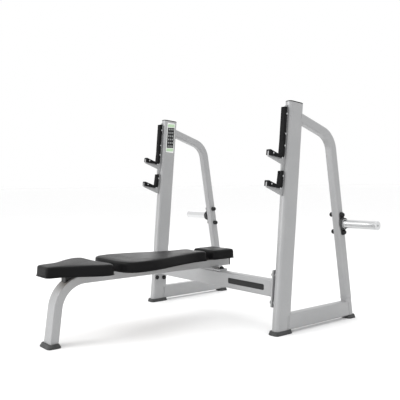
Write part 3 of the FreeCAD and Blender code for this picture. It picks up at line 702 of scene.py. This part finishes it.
def welt(name, node):
    """Corded piping round the bottom edge of a pad."""
    vertices, faces = tube_mesh(pad_line(node, WELT_R, WELT_R), lambda i: WELT_R, closed=True)
    mesh_piece(name, vertices, faces, FINISHES["pad_vinyl"])


def short_wires(name, lines, radius_at, material):
    """Many short round wires as one piece."""
    vertices, faces = [], []
    for line in lines:
        wire_vertices, wire_faces = tube_mesh(line, radius_at, closed=False, sides=6)
        base = len(vertices)
        vertices += wire_vertices
        faces += [tuple(base + index for index in face) for face in wire_faces]
    mesh_piece(name, vertices, faces, material)


def stitches(name, node):
    """A row of stitches just above the piping, each one thinner at its ends."""
    line = resampled(pad_line(node, 0.0004, 3.4 * WELT_R), STITCH, True)
    runs = [[a.lerp(b, t) for t in (0.12, 0.3, 0.5, 0.7, 0.88)] for a, b in zip(line, line[1:] + line[:1])]
    short_wires(name, runs, lambda i: WIRE_R - 0.00012 * abs(i - 2), THREAD)


def staples(name, node):
    """Staples that hold the cover's hem under the pad."""
    line = resampled(pad_line(node, HEM, -0.0003), STAPLE_GAP, True)
    flat = STAPLE_HALF - 0.0002
    bends = ((-STAPLE_HALF, 0.0012), (-flat, 0.0), (flat, 0.0), (STAPLE_HALF, 0.0012))
    runs = []
    for i, place in enumerate(line):
        along = (line[(i + 1) % len(line)] - line[i - 1]).normalized()
        runs.append([place + along * reach + Z_DIR * lift for reach, lift in bends])
    short_wires(name, runs, lambda i: WIRE_R, FINISHES["zinc_steel"])


def build_pads():
    for name in ("seat", "back", "head"):
        node = name + "_pad"
        pad = foam_block(name + "_cushion", node)
        remesh(pad, VOXEL)
        swell(pad, PRESSURE)
        settle(pad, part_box(node)[0].z)
        smooth_over(pad, 1)
        pad.data.shade_smooth()
        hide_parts(node)
        welt(name + "_welt", node)
        stitches(name + "_stitches", node)
        staples(name + "_staples", node)


# ---- studio ----
def light(name, place, aim, size, power):
    lamp = bpy.data.lights.new(name, "AREA")
    lamp.shape = "DISK"
    lamp.size = size
    lamp.energy = power
    holder = bpy.data.objects.new(name, lamp)
    bpy.context.scene.collection.objects.link(holder)
    holder.location = place
    holder.rotation_euler = (Vector(aim) - Vector(place)).to_track_quat("-Z", "Y").to_euler()
    holder.visible_camera = False


def studio_world():
    world = bpy.data.worlds.new("studio")
    world.use_nodes = True
    tree = world.node_tree
    back = tree.nodes["Background"]
    back.inputs["Color"].default_value = rgb(1.0, 1.0, 1.0)
    back.inputs["Strength"].default_value = WORLD_STRENGTH
    seen = tree.nodes.new("ShaderNodeBackground")
    seen.inputs["Color"].default_value = rgb(1.0, 1.0, 1.0)
    seen.inputs["Strength"].default_value = 1.0
    path = tree.nodes.new("ShaderNodeLightPath")
    mix = tree.nodes.new("ShaderNodeMixShader")
    tree.links.new(path.outputs["Is Camera Ray"], mix.inputs["Fac"])
    tree.links.new(back.outputs[0], mix.inputs[1])
    tree.links.new(seen.outputs[0], mix.inputs[2])
    tree.links.new(mix.outputs[0], tree.nodes["World Output"].inputs["Surface"])
    bpy.context.scene.world = world


def studio_floor():
    s = Shader("pale_floor", Specular_IOR_Level=0.15)
    tone = s.blend(s.noise(1.5, 3.0), rgb(0.90, 0.90, 0.90), rgb(0.92, 0.92, 0.92))
    material = s.connect(Base_Color=tone, Roughness=s.ramp(s.noise(3.0), 0.3, 0.7, 0.75, 0.9))
    mesh = bpy.data.meshes.new("studio_floor")
    corners = [(x * FLOOR_REACH, y * FLOOR_REACH, 0) for x, y in ((-1, -1), (1, -1), (1, 1), (-1, 1))]
    mesh.from_pydata(corners, [], [(0, 1, 2, 3)])
    mesh.materials.append(material)
    floor = bpy.data.objects.new("studio_floor", mesh)
    bpy.context.scene.collection.objects.link(floor)


def studio_camera():
    ahead = Vector((-math.sin(CAMERA_TURN) * math.cos(CAMERA_PITCH),
                    math.cos(CAMERA_TURN) * math.cos(CAMERA_PITCH), -math.sin(CAMERA_PITCH)))
    level = Vector((math.cos(CAMERA_TURN), math.sin(CAMERA_TURN), 0))
    upright = level.cross(ahead)
    right = level * math.cos(CAMERA_ROLL) + upright * math.sin(CAMERA_ROLL)
    up = upright * math.cos(CAMERA_ROLL) - level * math.sin(CAMERA_ROLL)
    data = bpy.data.cameras.new("camera")
    data.lens = CAMERA_LENS
    data.sensor_width = 36.0
    data.clip_end = 300.0
    camera = bpy.data.objects.new("camera", data)
    bpy.context.scene.collection.objects.link(camera)
    turn = Matrix((right, up, -ahead)).transposed().to_4x4()
    camera.matrix_world = Matrix.Translation(CAMERA_PLACE) @ turn
    bpy.context.scene.camera = camera


def build_studio():
    studio_world()
    studio_floor()
    for name, (place, aim, size, power) in LIGHTS.items():
        light(name, place, aim, size, power)
    studio_camera()
    bpy.context.scene.view_settings.view_transform = "Standard"


paint_cad_nodes()
build_pads()
build_welds()
build_info_plate()
build_beam_stripe()
build_studio()
